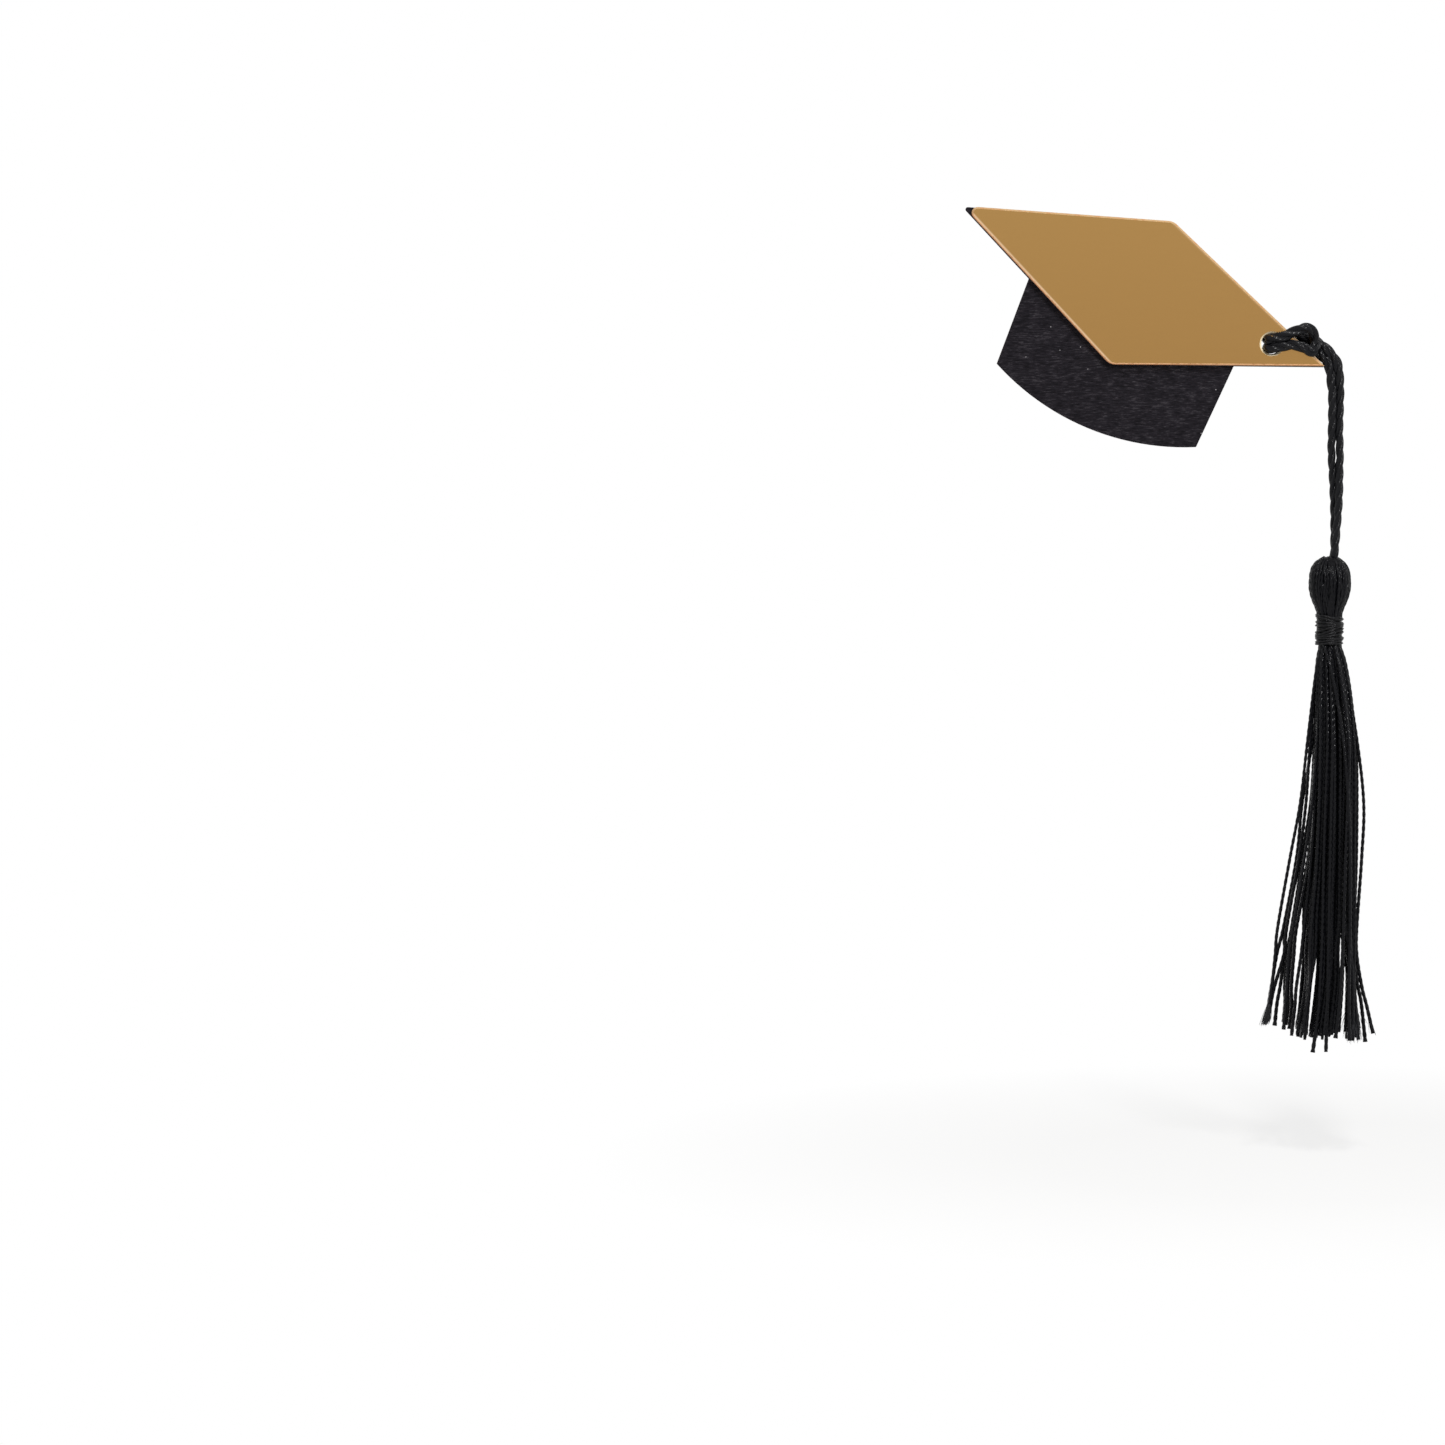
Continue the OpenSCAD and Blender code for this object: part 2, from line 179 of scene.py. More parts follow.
# %% Smooth lines and their side directions
def smooth_line(points, step):
    """Points about a step apart on a cubic curve through the given ones."""
    points = np.asarray(points, float)
    ends = 2 * points[0] - points[1], 2 * points[-1] - points[-2]
    points = np.vstack([ends[0], points, ends[1]])
    pieces = []
    for a, b, c, d in zip(points, points[1:], points[2:], points[3:]):
        count = max(1, round(np.linalg.norm(c - b) / step))
        t = np.arange(count)[:, None] / count
        bend = (2 * a - 5 * b + 4 * c - d) * t**2 + (3 * b - a - 3 * c + d) * t**3
        pieces.append(0.5 * (2 * b + (c - a) * t + bend))
    return np.vstack(pieces + [points[-2:-1]])


def run_along(line):
    """Distance from the line's start to each of its points."""
    return np.concatenate([[0.0], np.cumsum(np.linalg.norm(np.diff(line, axis=0), axis=1))])


def side_directions(line):
    """Two directions square to the line at each point, carried along without twisting."""
    along = np.gradient(line, axis=0)
    along /= np.linalg.norm(along, axis=1)[:, None]
    side = np.cross(along[0], [0.31, 0.93, 0.19])
    sides = []
    for direction in along:
        side = side - direction * np.dot(side, direction)
        side /= np.linalg.norm(side)
        sides.append(side)
    return np.array(sides), np.cross(along, sides)


cord_line = smooth_line(cord_points, step=0.25)
print(f"cord line: {run_along(cord_line)[-1]:.1f} mm in {len(cord_line)} points")

# %% Plies wound round a line
PLY_SHAPE = {2: (0.12, 0.4), 3: (0.22, 0.31)}  # offset and radius of a ply, in yarn thicknesses


def ring_spokes(side, across, sides):
    """At each point of a line, the directions to the corners of a ring round it."""
    around = 2 * math.pi * np.arange(sides) / sides
    return np.cos(around)[:, None] * side[:, None] + np.sin(around)[:, None] * across[:, None]


def wind_plies(line, thickness, plies, lay, sides, first_turn=0.0, spread=1.0):
    """Rings of the plies of a right-hand twisted yarn, as an array [ply, point, side, xyz]."""
    side, across = side_directions(line)
    run = run_along(line)
    thickness = np.broadcast_to(thickness, run.shape)
    offset_share, radius_share = PLY_SHAPE[plies]
    spokes = ring_spokes(side, across, sides)
    rings = []
    for ply in range(plies):
        turn = first_turn + 2 * math.pi * (run / lay + ply / plies)
        outward = np.cos(turn)[:, None] * side + np.sin(turn)[:, None] * across
        middle = line + (offset_share * thickness * spread)[:, None] * outward
        rings.append(middle[:, None] + (radius_share * thickness)[:, None, None] * spokes)
    return np.array(rings), run


CORD_LAY = 10.2  # length of cord in which a ply goes once round
# thickness by height from the hole: fullest in the hitch, thinner where the tassel stretches the cord
THICKNESS = {-22.0: CORD, -11.0: 1.85, -5.0: LOOSE_CORD}
cord_thickness = np.interp(cord_line[:, 2] - hole[2], list(THICKNESS), list(THICKNESS.values()))
cord_rings, cord_run = wind_plies(cord_line, cord_thickness, plies=3, lay=CORD_LAY, sides=12)
print(f"cord: {cord_run[-1] / CORD_LAY:.0f} turns of three plies")

# %% Tubes and pieces
TUBE_END_ANGLE = math.radians(60)  # a tube's wall is shaded smooth, and its flat ends stay hard


def tube_shape(rings, run):
    """Closed tube through rings: its points, its faces, and (around, along) for each face corner."""
    count, sides = rings.shape[:2]
    i, k = np.meshgrid(np.arange(count - 1), np.arange(sides), indexing="ij")
    after = (k + 1) % sides
    here, beyond = i * sides, (i + 1) * sides
    walls = np.stack([here + k, here + after, beyond + after, beyond + k], -1)
    around = np.stack([k, k + 1, k + 1, k], -1) / sides
    along = np.stack([run[i], run[i], run[i + 1], run[i + 1]], -1)
    caps = [list(range(sides))[::-1], [(count - 1) * sides + n for n in range(sides)]]
    cap_marks = np.repeat([[0.0, run[0]], [0.0, run[-1]]], sides, axis=0)
    marks = np.vstack([np.stack([around, along], -1).reshape(-1, 2), cap_marks])
    return rings.reshape(-1, 3), walls.reshape(-1, 4).tolist() + caps, marks


def make_piece(name, shapes, material):
    """One mesh object from closed shapes given in millimetres."""
    faces = []
    first = 0
    for points, shape_faces, _ in shapes:
        faces += [[first + corner for corner in face] for face in shape_faces]
        first += len(points)
    mesh = bpy.data.meshes.new(name)
    mesh.from_pydata((np.vstack([shape[0] for shape in shapes]) * MM).tolist(), [], faces)
    marks = mesh.uv_layers.new(name="around_along")
    marks.data.foreach_set("uv", np.vstack([shape[2] for shape in shapes]).astype(np.float32).ravel())
    mesh.shade_smooth()
    mesh.set_sharp_from_angle(angle=TUBE_END_ANGLE)
    mesh.materials.append(material)
    print(f"{name}: {len(mesh.vertices)} points, {len(mesh.polygons)} faces")
    return add_object(name, mesh)


print(f"one ply of the cord: {len(tube_shape(cord_rings[0], cord_run)[1])} faces")

# %% [markdown]
# The cord, the tassel's threads and the winding are all rayon, an artificial silk. Its filaments are
# smooth and lie along each ply, so the yarn is a deep black with short bright glints where a ply's
# back faces a lamp. A rough black would be easier, but would look like wool. The base is therefore
# almost black under a weak, fairly sharp gloss, which parallel filaments spread round the ply, and
# fine lines along the ply break the glints up. Small helpers serve every material: one turns a
# picture's colour values into the linear ones that shaders use, one adds a node, and two make a start.

# %% Colour and node helpers
def linear(hex_colour):
    """Linear RGBA of an sRGB colour such as "#AC864F"."""
    channels = [int(hex_colour[at:at + 2], 16) / 255 for at in (1, 3, 5)]
    return [c / 12.92 if c <= 0.04045 else ((c + 0.055) / 1.055) ** 2.4 for c in channels] + [1.0]


def add_node(tree, kind, settings=None, links=None):
    """A new node with its properties and socket values, and what feeds its sockets.

    A node among the links stands for the first output that it has in use.
    """
    node = tree.nodes.new("ShaderNode" + kind)
    for key, value in (settings or {}).items():
        if isinstance(key, str) and hasattr(node, key):
            setattr(node, key, value)
        else:
            node.inputs[key].default_value = value
    for key, source in (links or {}).items():
        if isinstance(source, bpy.types.Node):
            source = next(output for output in source.outputs if output.enabled)
        tree.links.new(source, node.inputs[key])
    return node


def new_tree(owner):
    """The empty node tree of a new material or world."""
    owner.use_nodes = True
    owner.node_tree.nodes.clear()
    return owner.node_tree


def new_material(name):
    """A new material, its node tree, and the outputs that say where a point lies."""
    material = bpy.data.materials.new(name)
    tree = new_tree(material)
    return material, tree, add_node(tree, "TexCoord").outputs


print("gold in linear values:", [round(value, 3) for value in linear("#AC864F")])

# %% Black rayon
FILAMENT_LINES = 11  # real filaments are 0.02 mm, too fine to see: drawn as eleven lines round a ply
FILAMENT_SLANT = 0.7  # lines crossed per millimetre along the ply
WAVE_UNIT = 2 * math.pi / 10  # how far the diagonal wave texture runs in one line
FILAMENT_BUMP = 0.8
GLOSS_CHANGE = (-0.06, 0.14)  # change of roughness across a filament line
GLINT_SPREAD = 0.9  # filaments spread a highlight round the ply and keep it short along the ply
DYE_PATCH = 1.5  # dye takes unevenly over stretches of about this length, mm


def black_rayon(name, dark, pale, shine, gleam, ridge):
    """Twisted rayon: deep black, with glints of light on filament lines, ridge mm high."""
    material, tree, place = new_material(name)
    lines = add_node(
        tree, "Mapping",
        {"Scale": (FILAMENT_LINES * WAVE_UNIT, FILAMENT_SLANT * WAVE_UNIT, 1.0)},
        {"Vector": place["UV"]},
    )
    filaments = add_node(
        tree, "TexWave",
        {"bands_direction": "DIAGONAL", "Scale": 1.0, "Distortion": 0.6, "Detail": 1.0},
        {"Vector": lines},
    )
    patches = add_node(
        tree, "TexNoise", {"Scale": 1 / (DYE_PATCH * MM), "Detail": 3.0},
        {"Vector": place["Object"]},
    )
    dye = add_node(
        tree, "Mix", {"data_type": "RGBA", 6: linear(dark), 7: linear(pale)}, {"Factor": patches}
    )
    gloss = add_node(
        tree, "MapRange", {"To Min": shine + GLOSS_CHANGE[0], "To Max": shine + GLOSS_CHANGE[1]},
        {"Value": filaments.outputs["Fac"]},
    )
    relief = add_node(
        tree, "Bump", {"Strength": FILAMENT_BUMP, "Distance": ridge * MM},
        {"Height": filaments.outputs["Fac"]},
    )
    around = add_node(tree, "Tangent", {"direction_type": "UV_MAP", "uv_map": "around_along"})
    surface = add_node(
        tree, "BsdfPrincipled", {"Specular IOR Level": gleam, "Anisotropic": GLINT_SPREAD},
        {"Base Color": dye, "Roughness": gloss, "Normal": relief, "Tangent": around},
    )
    add_node(tree, "OutputMaterial", None, {"Surface": surface})
    return material


cord_rayon = black_rayon(
    "twisted_black_rayon_cord", "#07070A", "#0E0E11", shine=0.25, gleam=0.15, ridge=0.05
)
print("material:", cord_rayon.name)

# %% [markdown]
# When the tassel swings, its cord bends in three places: at the board's corner, below it, and where it
# enters the head. It could be cut at each pivot, but the cuts would gape, so it is made in five lengths
# that meet between the bends.

# %% The lengths of cord
JUNCTION = hole[2] - 8.5  # height at which the hitch hands over to the legs, mm
ROOT = pivots["tassel_tilt"][2] + 2.0  # height at which the legs hand over to their ends in the head


above = np.flatnonzero(cord_line[:, 2] > JUNCTION)
free = np.flatnonzero(cord_line[:, 2] > ROOT)
stretches = {
    "outer_root": slice(0, free[0] + 1),
    "outer_cord": slice(free[0], above[0] + 1),
    "hitch_loop": slice(above[0], above[-1] + 1),
    "inner_cord": slice(above[-1], free[-1] + 1),
    "inner_root": slice(free[-1], len(cord_line)),
}
cords = {}
for name, stretch in stretches.items():
    shapes = [tube_shape(ply[stretch], cord_run[stretch]) for ply in cord_rings]
    cords[name] = make_piece(name, shapes, cord_rayon)

for name in ("outer_root", "inner_root"):
    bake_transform(cords[name])
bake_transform(cords["hitch_loop"])
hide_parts("hitch_cord", "cord_shoulder")
for name, node in {"outer_cord": "outer_leg", "inner_cord": "inner_leg"}.items():
    path = cord_line[stretches[name]] * MM
    path = path if path[0][2] > path[-1][2] else path[::-1]
    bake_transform(cords[name])
    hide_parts(node)
    print(f"{name}: {run_along(path)[-1] / MM:.1f} mm of free cord")

# %% [markdown]
# The black shape behind everything is laser-cut from thin birch plywood with a matt black print. Its
# shape is already right, but real cut edges are never razor sharp and a perfectly sharp edge
# catches no light. A copy of the part therefore gets a tiny bevel, made on the mesh itself, and the
# copy stands in for the part.

# %% Rigid pieces with softened edges
WELD = 0.001  # points nearer than this are one point, mm
SAME_DEPTH = 0.01  # depths that differ by less than this are the same, mm
FLAT_ANGLE = math.radians(1)  # faces that meet at less than this are one face
BEVEL_ANGLE = math.radians(40)  # edges that turn more than this get a bevel
BEVEL_PROFILE = 0.6  # a little fuller than round, which is 0.5
HARD_ANGLE = math.radians(25)  # edges that turn more than this aren't shaded smooth


def soften(node, name, width, segments, front_only, material):
    """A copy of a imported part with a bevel, of a width in mm, on its sharp edges."""
    shape = bmesh.new()
    shape.from_mesh(frame["nodes"][node].data)
    bmesh.ops.remove_doubles(shape, verts=shape.verts, dist=WELD * MM)
    bmesh.ops.dissolve_limit(shape, angle_limit=FLAT_ANGLE, verts=shape.verts, edges=shape.edges)
    if front_only:
        # the right tip's rounding is smaller than the bevel, so its short edges are joined first
        tip = max(vertex.co.x for vertex in shape.verts) - width * MM
        depths = [vertex.co.y for vertex in shape.verts]
        for depth in (min(depths), max(depths)):
            short = [v for v in shape.verts if v.co.x > tip and abs(v.co.y - depth) < SAME_DEPTH * MM]
            middle = sum((vertex.co for vertex in short), Vector()) / len(short)
            bmesh.ops.pointmerge(shape, verts=short, merge_co=middle)
    sharp = [edge for edge in shape.edges if edge.is_manifold and edge.calc_face_angle() > BEVEL_ANGLE]
    if front_only:
        face = min(vertex.co.y for vertex in shape.verts) + SAME_DEPTH * MM
        sharp = [edge for edge in sharp if max(vertex.co.y for vertex in edge.verts) < face]
    bmesh.ops.bevel(
        shape, geom=sharp, offset=width * MM, segments=segments, profile=BEVEL_PROFILE,
        affect="EDGES", clamp_overlap=not front_only,
    )
    mesh = bpy.data.meshes.new(name)
    shape.to_mesh(mesh)
    shape.free()
    mesh.shade_smooth()
    mesh.set_sharp_from_angle(angle=HARD_ANGLE)
    mesh.materials.append(material)
    piece = add_object(name, mesh)
    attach(piece, "cap")
    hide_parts(node)
    print(f"{name}: {len(sharp)} edges softened, {len(mesh.polygons)} faces")
    return piece


print(f"bevels: on edges that turn more than {math.degrees(BEVEL_ANGLE):.0f} degrees")

# %% Black printed face
WORN_PATCH = 3.0  # the print is rubbed a little paler in patches of about this size
WORN_SHARE = 0.3  # how much such a patch counts beside the grain
SPECK_SPACING = 3.0
SPECK_RIM, SPECK_MIDDLE = 0.05, 0.02  # where a speck of dust ends and is full, in spacings


def printed_face(tree, place, grain):
    """Colour of the matt black print: paler on grain and rubbed patches, with specks of dust."""
    patches = add_node(
        tree, "TexNoise", {"Scale": 1 / (WORN_PATCH * MM), "Detail": 2.0},
        {"Vector": place["Object"]},
    )
    worn = add_node(
        tree, "Math", {"operation": "MULTIPLY_ADD", 1: WORN_SHARE}, {0: patches, 2: grain}
    )
    face = add_node(tree, "ValToRGB", None, {"Fac": worn})
    face.color_ramp.elements[0].position = 0.50
    face.color_ramp.elements[0].color = linear("#0A080C")
    face.color_ramp.elements[1].position = 0.92
    face.color_ramp.elements[1].color = linear("#413E42")
    face.color_ramp.elements.new(0.71).color = linear("#1C191E")
    # dust and bare pores, about 0.2 mm across
    cells = add_node(
        tree, "TexVoronoi", {"Scale": 1 / (SPECK_SPACING * MM)}, {"Vector": place["Object"]}
    )
    speck = add_node(
        tree, "MapRange", {"From Min": SPECK_RIM, "From Max": SPECK_MIDDLE},
        {"Value": cells.outputs["Distance"]},
    )
    return add_node(
        tree, "Mix", {"data_type": "RGBA", 7: linear("#949193")}, {"Factor": speck, 6: face}
    )


print(f"dust: one speck in about {SPECK_SPACING} mm")

# %% Black printed plywood
GRAIN_LENGTH = 1.2  # mm along the grain, which runs across the cap
GRAIN_WIDTH = 0.22  # the finest real pores are 0.1 mm, drawn coarser so that they show
GRAIN_RELIEF = 0.05
PANEL_SOFTENED = 0.12  # width of the worn edge
PLY_SHEETS = 3
panel_low, panel_high = box_mm("cap_panel")
sheet = (panel_high[1] - panel_low[1]) / PLY_SHEETS


def printed_plywood():
    """Matt black print over birch: pale grain and dust on the face, scorched layers on the edge."""
    material, tree, place = new_material("black_printed_birch_plywood")
    stretch = add_node(
        tree, "Mapping",
        {"Scale": (1 / (GRAIN_LENGTH * MM), 1 / (GRAIN_LENGTH * MM), 1 / (GRAIN_WIDTH * MM))},
        {"Vector": place["Object"]},
    )
    grain = add_node(
        tree, "TexNoise", {"Scale": 1.0, "Detail": 5.0, "Roughness": 0.65}, {"Vector": stretch}
    )
    face = printed_face(tree, place, grain)
    # the cut edge shows the sheets the plywood is glued from, browned by the laser
    axes = add_node(tree, "SeparateXYZ", None, {"Vector": place["Object"]})
    layers = add_node(
        tree, "Math", {"operation": "PINGPONG", 1: sheet * MM}, {0: axes.outputs["Y"]}
    )
    layer = add_node(tree, "MapRange", {"From Min": 0.0, "From Max": sheet * MM}, {"Value": layers})
    edge = add_node(
        tree, "Mix", {"data_type": "RGBA", 6: linear("#0D0908"), 7: linear("#241812")},
        {"Factor": layer},
    )
    facing = add_node(tree, "SeparateXYZ", None, {"Vector": place["Normal"]})
    flat = add_node(tree, "Math", {"operation": "ABSOLUTE"}, {0: facing.outputs["Y"]})
    on_face = add_node(tree, "MapRange", {"From Min": 0.5, "From Max": 0.9}, {"Value": flat})
    colour = add_node(tree, "Mix", {"data_type": "RGBA"}, {"Factor": on_face, 6: edge, 7: face})
    dull = add_node(tree, "MapRange", {"To Min": 0.82, "To Max": 0.62}, {"Value": grain})
    relief = add_node(
        tree, "Bump", {"Strength": 0.5, "Distance": GRAIN_RELIEF * MM}, {"Height": grain}
    )
    surface = add_node(
        tree, "BsdfPrincipled", {"Specular IOR Level": 0.08},
        {"Base Color": colour, "Roughness": dull, "Normal": relief},
    )
    add_node(tree, "OutputMaterial", None, {"Surface": surface})
    return material


plywood_panel = soften("cap_panel", "plywood_panel", PANEL_SOFTENED, 2, False, printed_plywood())

# %% [markdown]
# The board on the face is mirror acrylic: a clear sheet with a gold metal coat. It reflects the pale
# room almost evenly, so it looks like one flat gold, with a painted reflection a shade paler at the
# top, and only its cut rim shows lines of light. The rim could be drawn as a separate strip, but on the
# real sheet it is the same piece, so it is a wide bevel, and the material tells rim from face by the
# direction a surface looks in. The rim's light is painted into its colour: paler and warmer where it
# looks down, duller where it looks up, and brightest round the hole. The bright cut's glow a little way
# into the clear sheet is painted too. Where the rim looks down, a darker brown line runs along its
# outer side.

# %% Gold coat
REFLECTION_REACH = 16.0  # the painted reflection changes from this far below the middle to as far above it
# glow of the bright cut in the clear sheet: the edge's slope, +1 for the left or -1 for the right edge,
# the distances in mm at which the glow begins and is full, and how strong it is
GLOWS = [(47.05, 1, 0.76, 0.45, 1.0), (43.44, -1, 0.75, 0.35, 0.35)]
board_corners = [vertex.co for vertex in frame["nodes"]["mirror_board"].data.vertices]


def gold_coat_and_painted_light(tree, place, axes):
    """Colour of the metal coat, with a painted reflection that makes it a shade paler at the top than
    at the bottom, and a painted glow beside the slanting edges.
    """
    # painted reflection: the gold is drawn a shade paler at the top than at the bottom
    height = add_node(
        tree, "MapRange", {"From Min": -REFLECTION_REACH * MM, "From Max": REFLECTION_REACH * MM},
        {"Value": axes.outputs["Z"]},
    )
    coat_and_painted_light = add_node(
        tree, "Mix", {"data_type": "RGBA", 6: linear("#A7804B"), 7: linear("#AD864F")},
        {"Factor": height},
    )
    # the sheet is clear above its coat, so the bright cut shines in beside the slanting edges
    for slope, side, begins, full, strength in GLOWS:
        slope = math.radians(slope)
        inward = side * Vector((math.sin(slope), 0.0, math.cos(slope)))
        edge = min(inward.dot(corner) for corner in board_corners)
        reach = add_node(
            tree, "VectorMath", {"operation": "DOT_PRODUCT", 1: inward}, {0: place["Object"]}
        )
        glow = add_node(
            tree, "MapRange",
            {"From Min": edge + begins * MM, "From Max": edge + full * MM, "To Max": strength},
            {"Value": reach},
        )
        coat_and_painted_light = add_node(
            tree, "Mix", {"data_type": "RGBA", 7: linear("#E2C09A")}, {"Factor": glow, 6: coat_and_painted_light}
        )
    return coat_and_painted_light


print("coat: glow beside", len(GLOWS), "edges")

# %% Cut rim
HOLE_RIM = 3.6  # everything nearer than this to the middle of the hole's mouth belongs to its rim
HOLE_RIM_FADE = 0.2
BROWN_LINE_DEPTH = 0.55  # how deep behind the face the brown line reaches
MELTED_LENGTH = 0.8  # size of the melted spots along the rim
hole_front = np.array([hole[0], board_front, hole[2]])


def cut_rim(tree, place, axes, facing, flat):
    """Colour of the laser-cut rim, with painted light: paler and warmer where it looks down, duller
    where it looks up, with a darker brown line and a painted highlight round the hole.
    """
    # the laser has left darker, melted spots, more of them on the bevel than on the cut behind it
    spots = add_node(
        tree, "TexNoise", {"Scale": 1 / (MELTED_LENGTH * MM), "Detail": 1.0},
        {"Vector": place["Object"]},
    )
    melted = add_node(
        tree, "MapRange", {"From Min": 0.45, "From Max": 0.70, "To Max": 0.7}, {"Value": spots}
    )
    on_bevel = add_node(
        tree, "MapRange", {"From Min": 0.3, "From Max": 0.6, "To Min": 0.2}, {"Value": flat}
    )
    spotted = add_node(tree, "Math", {"operation": "MULTIPLY"}, {0: melted, 1: on_bevel})
    # painted light: the rim is drawn paler and warmer where it looks down, duller where it looks up
    upward = add_node(
        tree, "MapRange", {"From Min": -0.2, "From Max": 0.2}, {"Value": facing.outputs["Z"]}
    )
    # where the rim looks down, a darker brown line runs along its outer side
    across_rim = add_node(
        tree, "MapRange",
        {"From Min": board_front * MM, "From Max": (board_front + BROWN_LINE_DEPTH) * MM},
        {"Value": axes.outputs["Y"]},
    )
    brown_line = add_node(tree, "ValToRGB", None, {"Fac": across_rim})
    brown_line.color_ramp.elements[0].color = linear("#000000")
    brown_line.color_ramp.elements[1].color = linear("#808080")
    for position, share in ((0.2, "#000000"), (0.58, "#FFFFFF")):
        brown_line.color_ramp.elements.new(position).color = linear(share)
    lower_rim_painted_light = add_node(
        tree, "Mix", {"data_type": "RGBA", 6: linear("#FAC08A"), 7: linear("#8E5226")},
        {"Factor": brown_line},
    )
    rim_with_painted_light = add_node(
        tree, "Mix", {"data_type": "RGBA", 7: linear("#BF9B6C")}, {"Factor": upward, 6: lower_rim_painted_light}
    )
    outer_rim = add_node(
        tree, "Mix", {"data_type": "RGBA", 7: linear("#B97C45")}, {"Factor": spotted, 6: rim_with_painted_light}
    )
    # painted highlight: the drilled hole's rim is painted paler than the laser's cut
    from_hole = add_node(
        tree, "VectorMath", {"operation": "DISTANCE", 1: hole_front * MM}, {0: place["Object"]}
    )
    hole_highlight_mask = add_node(
        tree, "MapRange", {"From Min": HOLE_RIM * MM, "From Max": (HOLE_RIM - HOLE_RIM_FADE) * MM},
        {"Value": from_hole},
    )
    return add_node(
        tree, "Mix", {"data_type": "RGBA", 7: linear("#FFEBC4")}, {"Factor": hole_highlight_mask, 6: outer_rim}
    )


# reports the brown line's depth and the painted highlight round the hole
print(f"rim: browned {BROWN_LINE_DEPTH} mm deep, painted_highlight round the hole")

# %% Gold mirror acrylic
RIM_WIDTH = 0.36
ROLL_LENGTH, ROLL_HEIGHT = 6.0, 0.5  # size of the faint marks that rolling the sheet has left


def gold_mirror():
    """Metal-coated acrylic: an almost even gold mirror, with painted light on the rim where the laser
    cut it, paler and warmer.
    """
    material, tree, place = new_material("gold_mirror_acrylic")
    axes = add_node(tree, "SeparateXYZ", None, {"Vector": place["Object"]})
    facing = add_node(tree, "SeparateXYZ", None, {"Vector": place["Normal"]})
    flat = add_node(tree, "Math", {"operation": "ABSOLUTE"}, {0: facing.outputs["Y"]})
    coat_and_painted_light = gold_coat_and_painted_light(tree, place, axes)
    rim = cut_rim(tree, place, axes, facing, flat)
    on_face = add_node(tree, "MapRange", {"From Min": 0.90, "From Max": 0.985}, {"Value": flat})
    colour = add_node(tree, "Mix", {"data_type": "RGBA"}, {"Factor": on_face, 6: rim, 7: coat_and_painted_light})
    stretch = add_node(
        tree, "Mapping",
        {"Scale": (1 / (ROLL_LENGTH * MM), 1 / (ROLL_LENGTH * MM), 1 / (ROLL_HEIGHT * MM))},
        {"Vector": place["Object"]},
    )
    streaks = add_node(tree, "TexNoise", {"Scale": 1.0, "Detail": 3.0}, {"Vector": stretch})
    gloss = add_node(tree, "MapRange", {"To Min": 0.10, "To Max": 0.20}, {"Value": streaks})
    surface = add_node(
        tree, "BsdfPrincipled", None,
        {"Base Color": colour, "Metallic": on_face, "Roughness": gloss},
    )
    add_node(tree, "OutputMaterial", None, {"Surface": surface})
    return material


gold_board = soften("mirror_board", "gold_board", RIM_WIDTH, 1, True, gold_mirror())

# %% [markdown]
# Between the two sheets lies a double-sided adhesive film, as thin as paper. Its part is right as it
# stands, so it only takes a finish: a cloudy, faintly yellow plastic that shows as a hairline.

# %% Adhesive film
BUBBLE = 0.8  # the finest bubbles can't be seen, so they are drawn as spots of this size


def adhesive():
    """Acrylic adhesive on a film: milky, with small trapped bubbles."""
    material, tree, place = new_material("acrylic_adhesive_film")
    bubbles = add_node(
        tree, "TexNoise", {"Scale": 1 / (BUBBLE * MM), "Detail": 2.0}, {"Vector": place["Object"]}
    )
    milky = add_node(
        tree, "Mix", {"data_type": "RGBA", 6: linear("#A8997E"), 7: linear("#C9BDA6")},
        {"Factor": bubbles},
    )
    surface = add_node(tree, "BsdfPrincipled", {"Roughness": 0.45}, {"Base Color": milky})
    add_node(tree, "OutputMaterial", None, {"Surface": surface})
    return material


film = frame["nodes"]["adhesive_film"]
film.data.materials.clear()
film.data.materials.append(adhesive())
print("film:", film.name)

# %% [markdown]
# Inside the tassel's head, both legs end in a knot that stops them from pulling out. Nobody sees it,
# but an overhand knot is simply a trefoil curve, so the real thing costs no more than a ball would.

# %% The knot inside the head
KNOT_THICKNESS = 1.15
knot_low, knot_high = box_mm("cord_knot")
knot_middle = (knot_low + knot_high) / 2
knot_reach = (knot_high[0] - knot_low[0] - KNOT_THICKNESS) / 2
TREFOIL_REACH = 3.0  # how far the formula's curve goes from its middle
KNOT_POINTS = 36
t = 2 * math.pi * np.arange(KNOT_POINTS + 1) / KNOT_POINTS
trefoil = np.stack([np.sin(t) + 2 * np.sin(2 * t), np.cos(t) - 2 * np.cos(2 * t), -np.sin(3 * t)], -1)
knot_line = smooth_line(knot_middle + trefoil * knot_reach / TREFOIL_REACH, step=0.3)
knot_rings, knot_run = wind_plies(knot_line, KNOT_THICKNESS, plies=3, lay=CORD_LAY, sides=8)
knot = make_piece("end_knot", [tube_shape(ply, knot_run) for ply in knot_rings], cord_rayon)
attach(knot, "tassel")
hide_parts("cord_knot")

# %% [markdown]
# The tassel is a hank of threads, folded in half over the cord and tied under the fold. Its head is
# the fold: threads rise round the cord, turn over in small hairpins and run down over the knot to the
# winding. A lathe shape with a bump map would look moulded, so every thread is laid by itself over
# the head's outline. A dark core under them keeps daylight from showing between the threads.

# %% Head outline
THREAD = 0.75  # thickness of one tassel thread, mm
THREAD_LAY = 3.0  # its two plies go once round in this length
head_low, head_high = box_mm("tassel_head")
neck_low, neck_high = box_mm("neck_wrap")
axis = np.array([(head_low[0] + head_high[0]) / 2, (head_low[1] + head_high[1]) / 2])
HEAD_HEIGHT = 12.3
head_top = head_low[2] + HEAD_HEIGHT
